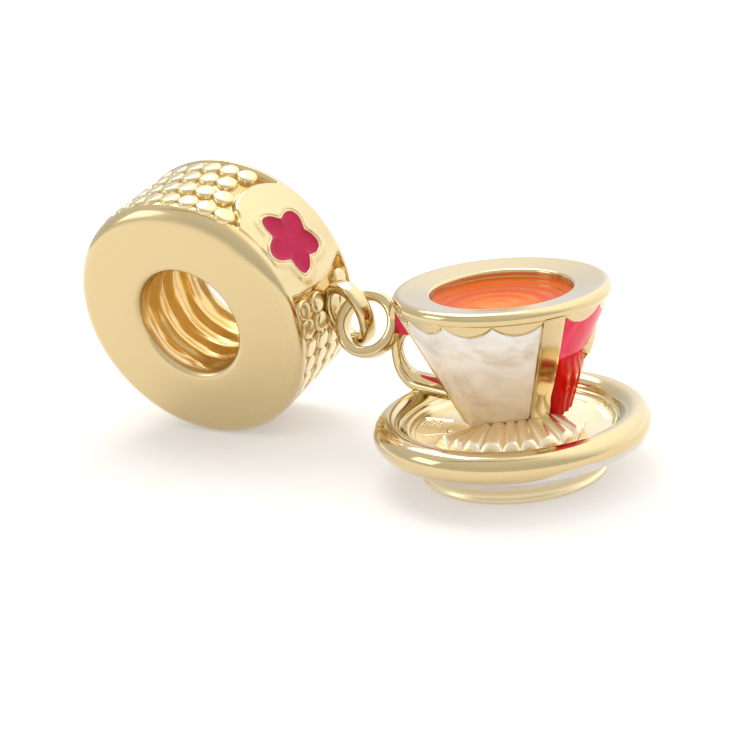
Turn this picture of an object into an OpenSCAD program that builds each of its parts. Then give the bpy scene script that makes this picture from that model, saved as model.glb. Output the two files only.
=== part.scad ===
// Teacup dangle charm: a charm bead with three flower plates, and a teacup on its saucer
// that hangs from it by two linked rings. Millimetres. It rests as it would by itself: the
// cup stands upright on its foot and the bead leans on the lower edge of its front rim.
// The origin is the centre of the foot's underside, +Z is up and the bead's hole runs over +Y.

/* [Bead] */
// Radius over the plain rims
bead_r = 5.25; // [4.8:0.05:5.7]
// Width along the hole
bead_w = 4.77; // [4.4:0.05:5.4]
// Rise of the plates above the rims at mid-width
crown = 0.1; // [0.06:0.01:0.16]
// Rounding of each rim's outer edge
rim_round = 0.5; // [0.35:0.05:0.6]
// Width of each plain rim beside the dotted fields
rim_w = 0.5; // [0.42:0.02:0.6]
// Depth of the dotted fields below the rims
field_depth = 0.28; // [0.2:0.02:0.36]
// Lean of the bead's hole above level
lean = 12; // [6:1:16]
// Radius of the hole for the bracelet
hole_r = 2.3; // [2:0.05:2.5]
// Rounding at each mouth of the hole
mouth_round = 0.3; // [0.2:0.05:0.4]
// Number of grip grooves in the hole
groove_count = 6; // [4:2:6]
// Radius of each groove's section
groove_r = 0.2; // [0.12:0.02:0.2]

/* [Plates and dots] */
// Number of flower plates round the bead
plate_count = 3; // [2:1:3]
// Angle of the first plate above level, on the cup's side
plate_angle = 35.5; // [30:0.5:40]
// Half the plate's length round the bead, at mid-width
plate_tip = 2.45; // [2.2:0.05:2.6]
// Half the plate's length where it meets the rims
plate_corner = 1.35; // [1:0.05:1.7]
// Radius of a dot where it meets the field
dot_r = 0.38; // [0.32:0.02:0.4]
// Height of a dot above the field
dot_h = 0.3; // [0.2:0.02:0.34]
// Angle from one dot to the next in a row
dot_step = 9.2; // [8.6:0.1:12]
// Number of rows of dots across the bead
dot_rows = 4; // [3:1:4]
// Distance of a petal's middle from the flower's middle
petal_out = 0.82; // [0.7:0.02:0.9]
// Radius of each petal
petal_r = 0.58; // [0.5:0.02:0.62]

/* [Links] */
// Middle radius of the ring on the bead
ring_a_r = 1.13; // [1.05:0.01:1.25]
// Middle radius of the ring on the handle
ring_b_r = 1.11; // [1.05:0.01:1.25]
// Thickness of the rings' wire, across the ring
wire_t = 0.42; // [0.34:0.02:0.46]
// Width of the rings' wire, along the ring's axis
wire_w = 0.64; // [0.44:0.02:0.68]

/* [Cup] */
// Outer radius of the rim
cup_r = 3.97; // [3.7:0.02:4.3]
// Height of the middle of the rim's roll
rim_z = 6.88; // [6.6:0.02:7.4]
// Radius of the rim's roll
rim_roll = 0.27; // [0.22:0.01:0.3]
// Radius of the opening that holds the tea
tea_r = 2.58; // [2.3:0.02:2.8]
// Depth of the tea below the rim's inner edge
tea_drop = 0.22; // [0.12:0.02:0.35]
// Radius of the cup's wall at its base
base_r = 1.79; // [1.6:0.02:2]
// Height of the cup's base above the surface
base_z = 2.34; // [2.2:0.02:2.5]
// Thickness of the enamel
enamel_t = 0.16; // [0.12:0.02:0.22]
// Rise of the gold apron and bar above the wall
relief = 0.08; // [0.06:0.01:0.12]
// Number of lobes round the apron
lobe_count = 13; // [11:1:15]
// Height of the cusps between lobes below the rim's middle
cusp_drop = 0.2; // [0.16:0.02:0.26]
// Hang of each lobe below its cusps
lobe_drop = 0.38; // [0.3:0.02:0.44]
// Width of the gold bar beside the white panel
bar_w = 0.82; // [0.7:0.02:1]

/* [Saucer] */
// Outer radius of the saucer
saucer_r = 5.14; // [4.9:0.02:5.4]
// Radius of the saucer's rolled rim
saucer_roll = 0.58; // [0.5:0.02:0.62]
// Height of the middle of the saucer's roll
saucer_z = 1.83; // [1.78:0.01:1.95]
// Height of the saucer's well
well_z = 1.72; // [1.6:0.02:1.8]
// Radius of the foot
foot_r = 3.5; // [3.2:0.05:3.7]
// Height of the foot
foot_h = 0.66; // [0.55:0.01:0.72]
// Rounding of the foot's edges
foot_round = 0.16; // [0.1:0.02:0.2]
// Number of pleats in the fan on the saucer
pleat_count = 9; // [7:1:10]

/* [Handle] */
// Direction of the handle round the cup
handle_turn = 164.2; // [160:0.2:170]
// Distance of the handle's wire from the cup's axis
handle_out = 5.58; // [5.3:0.02:5.8]
// Height of the handle's wire at its top
handle_top = 6.1; // [5.9:0.02:6.3]
// Height of the handle's wire at its foot
handle_low = 2.48; // [2.4:0.02:2.6]
// Radius of the handle's wire
handle_wire = 0.23; // [0.18:0.01:0.26]
// Bend of the wire at the top
bend_top = 0.9; // [0.7:0.05:1]
// Bend of the wire at the foot
bend_low = 1.05; // [0.85:0.05:1.15]
// Height of the lower edge of the finger hole
finger_low = 3.1; // [3:0.02:3.2]
// Height of the upper edge of the finger hole
finger_top = 4.6; // [4.4:0.02:4.8]

/* [Hidden] */
$fn = 64;
// Gap between enamel and metal
gap = 0.02;
// Overlap of cutters past a surface
past = 0.5;
// Half the web's thickness, with enamel on both of its faces
web_half = 0.1;
handle_enamel_t = 0.09;

// Bead, in its own frame: X towards the cup, Y along the hole, Z up across it
half_w = bead_w / 2;
field_half = half_w - rim_w;
field_r = bead_r - field_depth;
crown_r = bead_r + crown;
crown_arc = (pow(field_half, 2) + pow(crown, 2)) / (2 * crown);
dot_sphere = (pow(dot_r, 2) + pow(dot_h, 2)) / (2 * dot_h);
row_step = 2 * (field_half - dot_r) / (dot_rows - 1) * 0.95;
hole_len = bead_w - 2 * mouth_round;
groove_step = hole_len / groove_count;
flower_turn = -3;
flower_shift = -0.22;
flower_spin = -19;
petals = 5;
flower_mid = 0.82;
enamel_floor = bead_r - 2 * enamel_t;
bead_z = (half_w - rim_round) * sin(lean) + (bead_r - rim_round) * cos(lean) + rim_round;

// Cup
wall_slope = (cup_r - base_r) / (rim_z - base_z);
function wall(z) = base_r + wall_slope * (z - base_z);
cusp_z = rim_z - cusp_drop;
bar_left = -43.5;
bar_angle = asin(bar_w / wall(cusp_z));
bar_right = bar_left + bar_angle;
lobe_step = (360 - bar_angle) / lobe_count;
lobe_half = wall(cusp_z) * sin(lobe_step / 2);
lobe_r = (pow(lobe_half, 2) + pow(lobe_drop, 2)) / (2 * lobe_drop);
white_left = -138;
panel_low = base_z + enamel_t;
pink_low = base_z + 0.573 * (rim_z - base_z);
pink_right = 12;
back_start = 34;
back_end = 145;
tea_floor = rim_z - tea_drop - 1.75 * enamel_t;

// Saucer
roll_r = saucer_r - saucer_roll;
under_r = roll_r - 0.1;
under_z = saucer_z - saucer_roll + 0.04;
fan_start = -126;
fan_end = -6;
fan_in = [base_r + 0.21, base_z + 0.02];
fan_out = [base_r + 1.32, well_z + 0.04];
pleat_in = 0.1;
pleat_out = 0.18;

// Handle and rings, in the handle's frame: X outwards, Z up
wire_inner = handle_out - handle_wire;
finger_r = (finger_top - finger_low) / 2;
ring_b_at = [handle_out + ring_b_r - 0.02, 0.4, rim_z - 2.04];
ring_b_turn = 18;
ring_b_tip = 28;
ring_a_turn = -24;
link_way = [-0.95, 0.25, 0.3];
ring_a_sink = 0.12;
ring_a_back = -0.14;

// Places of the rings and the bead, worked out outwards from the handle
ring_b_place = [ring_b_at[0] * cos(handle_turn) - ring_b_at[1] * sin(handle_turn),
                ring_b_at[0] * sin(handle_turn) + ring_b_at[1] * cos(handle_turn), ring_b_at[2]];
ring_a_place = ring_b_place + link_way * 0.46 * (ring_a_r + ring_b_r);
ring_a_up = (ring_a_place[2] - bead_z - ring_a_back * sin(lean)) / cos(lean);
ring_a_reach = bead_r + ring_a_r - ring_a_sink;
ring_a_along = sqrt(pow(ring_a_reach, 2) - pow(ring_a_up, 2));
bead_place = [ring_a_place[0] - ring_a_along,
              ring_a_place[1] - ring_a_back * cos(lean) + ring_a_up * sin(lean), bead_z];

// Puts what is drawn in the bead's own frame where the bead leans
module on_bead() {
    translate(bead_place) rotate([lean, 0, 0]) children();
}

// Turns what is drawn round the bead's hole, with 0 on the cup's side
module round_bead(angle) {
    rotate([0, -angle, 0]) children();
}

// A profile of radius and place along the hole, turned round the hole
module revolve_bead() {
    rotate([-90, 0, 0]) rotate_extrude($fn = 128) children();
}

// Outline of the bead's blank: flat faces, rounded rims and a slight crown
module bead_profile() {
    inner = half_w - rim_round;
    translate([0, -half_w]) square([bead_r - rim_round, bead_w]);
    translate([0, -inner]) square([bead_r, 2 * inner]);
    for (side = [-1, 1]) translate([bead_r - rim_round, side * inner]) circle(rim_round);
    intersection() {
        translate([crown_r - crown_arc, 0]) circle(crown_arc, $fn = 256);
        translate([bead_r - past, -field_half]) square([2 * past, 2 * field_half]);
    }
}

// The hole with its rounded mouths and its grip grooves
module bead_hole() {
    revolve_bead() {
        translate([0, -half_w - past]) square([hole_r, bead_w + 2 * past]);
        for (side = [-1, 1]) difference() {
            translate([0, side * half_w - mouth_round]) square([hole_r + mouth_round, 2 * mouth_round]);
            translate([hole_r + mouth_round, side * (half_w - mouth_round)]) circle(mouth_round);
            translate([hole_r, side * (half_w - 2 * mouth_round) - mouth_round])
                square([2 * mouth_round, 2 * mouth_round]);
        }
        for (i = [0 : groove_count - 1])
            translate([hole_r, (i - (groove_count - 1) / 2) * groove_step]) circle(groove_r);
    }
}

// Half the plate's length at a place along the hole: longest at mid-width, drawn in at the rims
function plate_half(s) = plate_tip - (plate_tip - plate_corner) * pow(abs(s) / field_half, 2);

// One plate's outline, its length over X and the hole over Y
module plate_outline(steps = 8) {
    reach = field_half + past;
    stations = [for (i = [-steps : steps]) i / steps * field_half];
    polygon(concat(
        [for (s = stations) [plate_half(s), s]],
        [[plate_corner, reach], [-plate_corner, reach]],
        [for (i = [len(stations) - 1 : -1 : 0]) [-plate_half(stations[i]), stations[i]]],
        [[-plate_corner, -reach], [plate_corner, -reach]]));
}

// Stands an outline on a plate and draws it out along the plate's own radius
module stand_on_plate(index, from, to) {
    round_bead(plate_angle + index * 360 / plate_count)
        translate([from, 0, 0]) rotate([90, 0, 90]) rotate([0, 0, -90])
            linear_extrude(to - from) children();
}

// The flower, larger by grow all round
module flower_outline(grow) {
    translate([-flower_turn * PI / 180 * crown_r, flower_shift]) rotate([0, 0, flower_spin]) {
        circle(flower_mid + grow);
        for (i = [0 : petals - 1]) rotate([0, 0, i * 360 / petals])
            translate([petal_out, 0]) circle(petal_r + grow);
    }
}

// Dots in staggered rows, wherever a row is clear of the plates
module dots() {
    plate_step = 360 / plate_count;
    for (field = [0 : plate_count - 1], row = [0 : dot_rows - 1]) {
        s = (row - (dot_rows - 1) / 2) * row_step;
        clear = asin((plate_half(s) + dot_r * 0.8) / bead_r);
        room = plate_step / 2 - clear;
        stagger = row % 2 == 0 ? 0 : 0.5;
        count = floor(room / dot_step) + 1;
        for (k = [-count : count]) {
            turn = (k + stagger) * dot_step;
            if (abs(turn) <= room)
                round_bead(plate_angle + (field + 0.5) * plate_step + turn)
                    translate([field_r + dot_h - dot_sphere, s, 0]) sphere(dot_sphere, $fn = 32);
        }
    }
}

// Section of the rings' wire: oblong with soft corners
module wire_section(steps = 20) {
    power = 0.6;
    polygon([for (i = [0 : steps - 1]) let (a = 360 * (i + 0.5) / steps)
        [sign(cos(a)) * pow(abs(cos(a)), power) * wire_t / 2,
         sign(sin(a)) * pow(abs(sin(a)), power) * wire_w / 2]]);
}

// A ring of that wire, its axis over Y
module ring(radius) {
    rotate([-90, 0, 0]) rotate_extrude($fn = 96) translate([radius, 0]) wire_section();
}

// The bead with its plates, dots and the ring cast on it
module bead() {
    color("#E3CD94") difference() {
        on_bead() {
            difference() {
                revolve_bead() bead_profile();
                difference() {
                    revolve_bead() polygon([
                        [field_r, -field_half + field_depth / 2], [crown_r + past, -field_half],
                        [crown_r + past, field_half], [field_r, field_half - field_depth / 2]]);
                    for (i = [0 : plate_count - 1])
                        stand_on_plate(i, field_r - past, crown_r + past) plate_outline();
                }
            }
            dots();
            translate([ring_a_along, ring_a_back, ring_a_up]) rotate([0, 0, ring_a_turn]) ring(ring_a_r);
        }
        on_bead() {
            bead_hole();
            for (i = [0 : plate_count - 1])
                stand_on_plate(i, enamel_floor, crown_r + past) flower_outline(0);
        }
    }
}

// Enamel in one flower, its face flush with the plate's
module flower_enamel(index) {
    color("#BE2350") on_bead() intersection() {
        stand_on_plate(index, enamel_floor + gap, crown_r + past) flower_outline(-gap);
        revolve_bead() bead_profile();
    }
}

// Profile of saucer and cup, radius over height
module cup_profile() {
    lip_roll = 0.12;
    intersection() {
        square([saucer_r, rim_z + rim_roll]);
        union() {
            square([foot_r - foot_round, foot_h]);
            translate([0, foot_round]) square([foot_r, foot_h - 2 * foot_round]);
            for (z = [foot_round, foot_h - foot_round])
                translate([foot_r - foot_round, z]) circle(foot_round);
            polygon([[0, foot_round], [foot_r - foot_round, foot_h - foot_round], [under_r, under_z],
                     [roll_r, saucer_z], [roll_r - saucer_roll / 2, well_z + 0.1],
                     [roll_r - saucer_roll * 1.3, well_z], [0, well_z]]);
            translate([roll_r, saucer_z]) circle(saucer_roll);
            polygon([[0, well_z - past], [wall(well_z), well_z - past], [base_r, base_z],
                     [wall(rim_z - rim_roll), rim_z - rim_roll], [cup_r - rim_roll, rim_z],
                     [cup_r - rim_roll, rim_z + rim_roll], [tea_r + lip_roll, rim_z + lip_roll],
                     [tea_r, rim_z], [tea_r, tea_floor], [0, tea_floor]]);
            translate([cup_r - rim_roll, rim_z]) circle(rim_roll);
            translate([tea_r + lip_roll, rim_z]) circle(lip_roll);
        }
    }
}

// A band of the wall between two heights, from a depth inside it to a rise outside it
module wall_band(depth, rise, low, high) {
    rotate_extrude($fn = 128) polygon([[wall(low) - depth, low], [wall(low) + rise, low],
                                       [wall(high) + rise, high], [wall(high) - depth, high]]);
}

// Upright wedge round the cup from one direction to another, each side moved in by an offset
module wedge(from, to, move_from, move_to) {
    far = 2 * saucer_r;
    linear_extrude(2 * rim_z) intersection() {
        rotate([0, 0, from]) translate([-far, move_from]) square([2 * far, 2 * far]);
        rotate([0, 0, to]) translate([-far, -2 * far - move_to]) square([2 * far, 2 * far]);
    }
}

// The apron's lobes as discs that cut through the wall, larger by grow
module lobes(grow) {
    for (i = [0 : lobe_count - 1])
        rotate([0, 0, bar_right + (i + 0.5) * lobe_step])
            translate([wall(cusp_z) - 2 * enamel_t - past, 0, cusp_z - lobe_drop + lobe_r])
                rotate([0, 90, 0]) cylinder(r = lobe_r + grow, h = 2 * past + 4 * enamel_t);
}

// Space for enamel in the wall: shrink is 0 for the pocket and the gap for the enamel
module panel_space(from, to, move_from, move_to, low, high, shrink, rise) {
    difference() {
        intersection() {
            wall_band(enamel_t - shrink, rise, low + shrink, high - shrink);
            wedge(from, to, move_from + shrink, move_to + shrink);
        }
        lobes(shrink);
    }
}

module white_front_space(shrink, rise) {
    panel_space(white_left, bar_left, 0, 0, panel_low, cusp_z, shrink, rise);
}

module white_back_space(shrink, rise) {
    panel_space(back_start, back_end, 0, 0, panel_low, cusp_z, shrink, rise);
}

module pink_space(shrink, rise) {
    panel_space(bar_left, pink_right, bar_w, 0, pink_low, cusp_z, shrink, rise);
}

// Gold apron of lobes under the rim, and the bar beside the white panel; both run up into the roll
module apron() {
    lobe_low = cusp_z - lobe_drop;
    top = rim_z - rim_roll / 4;
    depth = 2 * enamel_t;
    seat = gap / 2;
    intersection() {
        rotate_extrude($fn = 128) polygon([
            [wall(panel_low) - depth, panel_low], [wall(panel_low) + relief, panel_low],
            [wall(lobe_low) + relief, lobe_low], [cup_r - rim_roll / 8, top], [wall(top) - depth, top]]);
        union() {
            lobes(seat);
            translate([0, 0, cusp_z - seat]) cylinder(r = 2 * cup_r, h = rim_z);
            rotate([0, 0, bar_left]) translate([0, -seat, panel_low - past])
                cube([2 * cup_r, bar_w + 2 * seat, rim_z]);
        }
    }
}

// Inside of the handle's wire, drawn in by shrink from the wire's middle line
module handle_inside(shrink) {
    out = handle_out - shrink;
    top = handle_top - shrink;
    low = handle_low + shrink;
    round_top = bend_top - shrink;
    round_low = bend_low - shrink;
    translate([0, low]) square([out - round_low, top - low - round_top]);
    translate([0, low + round_low]) square([out, top - low - round_low - round_top]);
    translate([0, low + round_low]) square([out - round_top, top - low - round_low]);
    translate([out - round_low, low + round_low]) circle(round_low);
    translate([out - round_top, top - round_top]) circle(round_top);
}

// Finger hole, larger by grow
module finger_hole(grow) {
    middle = (finger_low + finger_top) / 2;
    translate([0, finger_low - grow]) square([wire_inner - finger_r, 2 * (finger_r + grow)]);
    translate([wire_inner - finger_r, middle]) circle(finger_r + grow);
}

// Everything outside the cup's wall and clear of it by out
module beyond_wall(out) {
    polygon([[wall(0) + out, 0], [wall(rim_z) + out, rim_z], [2 * handle_out, rim_z], [2 * handle_out, 0]]);
}

// Web of the handle: the inside of the wire, drawn in by shrink, without the finger hole grown by
// clear, and clear of the wall by out
module web_outline(shrink, clear, out) {
    intersection() {
        difference() {
            handle_inside(shrink);
            finger_hole(clear);
        }
        beyond_wall(out);
    }
}

// Draws an outline of distance and height out across the handle, between two places
module across_handle(from, to) {
    rotate([0, 0, handle_turn]) translate([0, -from, 0]) rotate([90, 0, 0])
        linear_extrude(to - from) children();
}

// Round wire of the handle: two bends, an upright stretch and two level ends
module handle_wire_solid() {
    rotate([0, 0, handle_turn]) rotate([90, 0, 0]) {
        translate([handle_out - bend_top, handle_top - bend_top, 0])
            rotate_extrude(angle = 90, start = 0) translate([bend_top, 0]) circle(handle_wire);
        translate([handle_out - bend_low, handle_low + bend_low, 0])
            rotate_extrude(angle = 90, start = 270) translate([bend_low, 0]) circle(handle_wire);
        translate([handle_out, handle_low + bend_low, 0]) rotate([-90, 0, 0])
            cylinder(r = handle_wire, h = handle_top - handle_low - bend_low - bend_top);
        translate([wall(handle_top) - handle_wire, handle_top, 0]) rotate([0, 90, 0])
            cylinder(r = handle_wire, h = handle_out - bend_top - wall(handle_top) + handle_wire);
        translate([wall(handle_low) - handle_wire, handle_low, 0]) rotate([0, 90, 0])
            cylinder(r = handle_wire, h = handle_out - bend_low - wall(handle_low) + handle_wire);
    }
}

// Pleated fan on the saucer at the cup's foot: a ring sector whose top rises in rounded pleats
module fan(pleat_steps = 6) {
    steps = pleat_count * pleat_steps;
    under = well_z - foot_round;
    function swell(i) = sqrt(abs(sin(180 * i / pleat_steps)));
    function section(i) = [
        [base_r - past, under], [base_r - past, fan_in[1]],
        fan_in + [0, pleat_in * swell(i)], fan_out + [0, pleat_out * swell(i)], [fan_out[0], under]];
    function around(i) = let (a = fan_start + (fan_end - fan_start) * i / steps)
        [for (p = section(i)) [p[0] * cos(a), p[0] * sin(a), p[1]]];
    count = len(section(0));
    polyhedron(
        [for (i = [0 : steps]) each around(i)],
        concat([[for (k = [0 : count - 1]) k], [for (k = [count - 1 : -1 : 0]) steps * count + k]],
            [for (i = [0 : steps - 1], k = [0 : count - 1])
                let (n = (k + 1) % count, a = i * count, b = a + count)
                    each [[a + k, b + k, b + n], [a + k, b + n, a + n]]]));
}

// Shallow recesses in the saucer's well: two panels, a slot and a small framed field
module well_recesses() {
    depth = 0.1;
    inner = fan_out[0] - 0.5;
    outer = roll_r - saucer_roll - 0.06;
    for (span = [[-178, -131], [2, 34]])
        translate([0, 0, well_z - depth]) rotate_extrude(angle = span[1] - span[0], start = span[0])
            translate([inner, 0]) square([outer - inner, 2 * depth]);
    translate([0, 0, well_z - depth]) rotate_extrude(angle = 26, start = 60)
        translate([outer - 0.3, 0]) square([0.42, 3 * depth]);
}

module red_drape_space(shrink) {
    low = panel_low - 0.04;
    high = pink_low - 2 * gap;
    swell = 0.44;
    right = 30;
    ridges = 5;
    first = bar_left + asin(bar_w / wall(low));
    ridge_r = 0.26;
    step = (right - first) / ridges;
    intersection() {
        union() {
            rotate_extrude($fn = 128) polygon([
                [wall(low) - enamel_t + shrink, low + shrink], [wall(low) + swell - 0.1, low + shrink],
                [wall(high), high - shrink], [wall(high) - enamel_t + shrink, high - shrink]]);
            for (i = [0 : ridges - 1]) rotate([0, 0, first + (i + 0.5) * step])
                translate([wall(low) + swell - 0.3, 0, low + shrink])
                    rotate([0, atan2(wall(high) - wall(low) - swell + 0.16, high - low), 0])
                        cylinder(r = ridge_r - shrink, h = high - low - 2 * shrink);
        }
        wedge(bar_left, right, bar_w + shrink, shrink);
        translate([0, 0, low + shrink]) cylinder(r = cup_r, h = high - low - 2 * shrink);
    }
}

// Cup, saucer, foot, handle and the ring cast on the handle
module teacup() {
    color("#E3CD94") {
        difference() {
            rotate_extrude($fn = 128) cup_profile();
            white_front_space(0, past);
            white_back_space(0, past);
            pink_space(0, past);
            red_drape_space(0);
            saucer_band(0, past);
            well_recesses();
        }
        fan();
        apron();
        handle_wire_solid();
        across_handle(-web_half, web_half) web_outline(0, 0, -2 * enamel_t);
        rotate([0, 0, handle_turn]) translate(ring_b_at)
            rotate([0, 0, ring_b_turn]) rotate([ring_b_tip, 0, 0]) ring(ring_b_r);
    }
}

// White band round the underside of the saucer
module saucer_band(shrink, rise) {
    way = [under_r - foot_r + foot_round, under_z - foot_h + foot_round];
    out = [way[1], -way[0]] / norm(way);
    start = [foot_r - foot_round, foot_h - foot_round] + way * 0.14;
    end = [foot_r - foot_round, foot_h - foot_round] + way * 0.8;
    trim = way / norm(way) * shrink;
    rotate_extrude($fn = 128) polygon([
        start + trim - out * (enamel_t / 2 - shrink), start + trim + out * rise,
        end - trim + out * rise, end - trim - out * (enamel_t / 2 - shrink)]);
}

module tea_enamel() {
    color("#E8703A") translate([0, 0, tea_floor + gap])
        cylinder(r = tea_r - gap, h = rim_z - tea_drop - tea_floor - gap, $fn = 96);
}

module pearl_panel_front() {
    color("#E6E2DE") white_front_space(gap, -gap);
}

module pearl_panel_back() {
    color("#E6E2DE") white_back_space(gap, -gap);
}

module pink_panel() {
    color("#F0506E") pink_space(gap, -gap);
}

module red_drape() {
    color("#D01010") red_drape_space(gap);
}

module saucer_enamel() {
    color("#E6E2E6") saucer_band(gap, gap / 2);
}

// Enamel on one face of the web, above or below the finger hole; face is 1 or -1
module handle_enamel(face, low, high) {
    inner = web_half + gap;
    outer = inner + handle_enamel_t;
    color("#D0203C") across_handle(face > 0 ? inner : -outer, face > 0 ? outer : -inner)
        intersection() {
            web_outline(handle_wire + gap, 2 * gap, enamel_t);
            translate([0, low]) square([handle_out, high - low]);
        }
}

module handle_enamel_upper_front() {
    handle_enamel(1, finger_top, handle_top);
}

module handle_enamel_upper_back() {
    handle_enamel(-1, finger_top, handle_top);
}

module handle_enamel_lower_front() {
    handle_enamel(1, handle_low, finger_low);
}

module handle_enamel_lower_back() {
    handle_enamel(-1, handle_low, finger_low);
}

bead();
flower_enamel(0);  // flower_enamel_1
flower_enamel(1);  // flower_enamel_2
flower_enamel(2);  // flower_enamel_3
teacup();
tea_enamel();
pearl_panel_front();
pearl_panel_back();
pink_panel();
red_drape();
saucer_enamel();
handle_enamel_upper_front();
handle_enamel_upper_back();
handle_enamel_lower_front();
handle_enamel_lower_back();
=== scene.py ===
"""Looks of the teacup dangle charm: polished pale gold plate, dotted bead fields, glossy and pearly
enamel. Lengths are millimetres in the frame of the solids, and metres only where a mesh, a shader or
the stage needs them. Angles are degrees. Round the bead's hole a place is an angle theta, a place s
along the hole and a radius. Round the cup's axis it is an azimuth, a radius and a height z."""
import bpy
import numpy as np
from mathutils import Matrix, Vector


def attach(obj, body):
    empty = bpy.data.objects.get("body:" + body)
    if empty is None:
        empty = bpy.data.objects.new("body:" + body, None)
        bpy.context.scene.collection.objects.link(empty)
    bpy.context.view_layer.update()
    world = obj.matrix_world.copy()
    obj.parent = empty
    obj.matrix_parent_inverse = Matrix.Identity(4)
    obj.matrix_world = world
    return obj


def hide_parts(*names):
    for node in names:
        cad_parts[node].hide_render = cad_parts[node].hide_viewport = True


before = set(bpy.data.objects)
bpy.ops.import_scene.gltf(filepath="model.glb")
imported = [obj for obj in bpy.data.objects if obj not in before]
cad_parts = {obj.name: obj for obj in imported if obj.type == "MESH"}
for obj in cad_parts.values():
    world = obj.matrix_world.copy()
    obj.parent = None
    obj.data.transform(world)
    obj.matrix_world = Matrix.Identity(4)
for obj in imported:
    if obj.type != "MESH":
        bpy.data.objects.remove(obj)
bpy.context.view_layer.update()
MM = 0.001

# Bead
BEAD_R = 5.25
BEAD_W = 4.77
HALF_W = BEAD_W / 2
RIM_W = 0.5
RIM_ROUND = 0.5
FIELD_HALF = HALF_W - RIM_W
FIELD_DEPTH = 0.28
FIELD_R = BEAD_R - FIELD_DEPTH
CROWN = 0.1  # rise of the plates over the rims
EDGE_SLOPE = 0.07  # half width of the slope from a plate down to a field
HOLE_R = 2.3
MOUTH_ROUND = 0.3  # rounding of the hole's front mouth
BACK_MOUTH = 0.14  # rounding of its back mouth
RIB_PITCH = 1.05
RIB_DEPTH = 0.2
LEAN = 12.0
BEAD_PLACE = np.array([-13.755, 1.74927, 5.53811])  # middle of the hole, as in the solids

# Front rim of the bead: what wear takes off its radius and adds to its rounding over the face and
# along the barrel, and what a crisp stretch takes off that rounding
WORN_OFF = 0.14
WORN_FACE, WORN_SIDE = 0.42, 0.2
CRISP_FACE, CRISP_SIDE = 0.22, 0.2

# Plates. The half length of each side: longest, drawn in at the rims, power of that, place of the longest
PLATE_COUNT = 3
PLATE_STEP = 360 / PLATE_COUNT
PLATE_ANGLE = 35.5
PLATE_ABOVE = (2.5, 0.95, 2.2, 0.25)
PLATE_BELOW = (2.35, 0.35, 2, -0.2)

# Dots. Each row: its place along the hole and its turn from the field's middle. The pad's profile: shares
# of its radius and of its height
DOT_R = 0.43
DOT_H = 0.29
DOT_STEP = 9.3
DOT_CLEAR = 0.209  # least distance of a dot's middle from a plate
DOT_MARGIN = 0.05  # gap cut round a dot that stands against a plate
DOT_ROWS = ((-1.5, 1.7), (-0.5, -0.3), (0.5, 4.9), (1.43, 0.5))
DOT_PROFILE = ((1.08, -0.12), (1.05, 0.1), (1.02, 0.35), (0.98, 0.62), (0.9, 0.84),
               (0.76, 0.94), (0.5, 0.98), (0.25, 0.99), (0.04, 1.0), (0.01, 1.0))

# Flowers. The raised line's section: out from the outline, up from the plate
PETALS = 5
PETAL_TIP = 1.42
NOTCH_R = 0.96
FLOWER_TURN = -3.0  # round the bead from the plate's middle
FLOWER_SHIFT = -0.22  # along the hole from mid-width
FLOWER_SPIN = -19.0  # about the flower's own middle
FLOWER_SINK = 0.2  # depth of its recess
FLOWER_DISH = 0.1  # how far the enamel's face sinks to its middle
LINE_SECTION = ((-0.01, -0.12), (-0.01, 0.012), (0.03, 0.028), (0.07, 0.028), (0.11, 0.01), (0.14, -0.12))

# Cup
CUP_R = 3.97
RIM_Z = 6.88
RIM_ROLL = 0.27
TEA_R = 2.58
TEA_Z = 6.66
BASE_R = 1.79
BASE_Z = 2.34
RELIEF = 0.08  # height of the apron and the bar over the wall
LOBES = 13
CUSP_Z = RIM_Z - 0.2
LOBE_DROP = 0.38
BAR_W = 0.82
BAR_LEFT = -43.5
BEVEL = 0.085  # height of the apron's rounded lower edge
LINE_AZIMUTH = -138.2  # of the raised line at the white panel's left edge

# Where the wall meets the saucer or the fan: azimuth, height
FOOT_LINE = ((-178, 2.3), (-150, 2.14), (-138, 2.06), (-124, 2.0), (-112, 1.94), (-103, 2.16), (-92, 2.38),
             (-77, 2.46), (-46, 2.51), (0, 2.46), (34, 2.4), (90, 2.4), (182, 2.3))

# Coloured panels. The two edges: height, azimuth
PINK_LOW = 4.9
DRAPE_LOW, DRAPE_TOP = 2.48, 4.96
DRAPE_RIGHT = ((2.4, 29.5), (3.7, 27), (4.2, 14), (4.6, 4), (4.96, 1))
PAD_LOW, PAD_TOP = 2.42, 5.9
PAD_LEFT = ((2.4, 28.5), (3.7, 26), (4.2, 13), (4.6, 3), (4.96, 2), (5.65, 22), (5.9, 27))
PAD_RIGHT = 62
MENISCUS = 0.035  # how far a flat panel's face turns down at its edges

# Saucer. What lies under its white band: radius, height, way that the surface faces
SAUCER_R = 5.14
SAUCER_ROLL = 0.58
ROLL_R = SAUCER_R - SAUCER_ROLL
SAUCER_Z = 1.83
WELL_Z = 1.72
FOOT_R = 3.5
FOOT_H = 0.58
FOOT_ROUND = 0.12
UNDERSIDE = ((FOOT_R + 0.02, FOOT_H, -40), (FOOT_R + 0.08, 0.78, -40), (FOOT_R + 0.26, 0.98, -48),
             (FOOT_R + 0.56, 1.13, -68))
ROLL_START = -75  # where the roll leaves the underside, as an angle round its section

# Width of the white band, measured from the foot up round the roll: azimuth, width
BAND_WIDTH = ((-180, 1.4), (-105, 1.42), (-88, 1.5), (-76, 1.62), (-66, 1.72), (-60, 1.8), (-54, 1.92),
              (-49, 2.06), (-43, 2.15), (-35, 2.18), (-25, 2.14), (0, 2.1), (25, 1.9), (50, 1.55), (70, 1.42),
              (180, 1.4))

# Fan of pleats on the saucer
PLEATS = 9
FAN_START = -126.0
FAN_END = -6.0
FAN_R = 3.2

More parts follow.
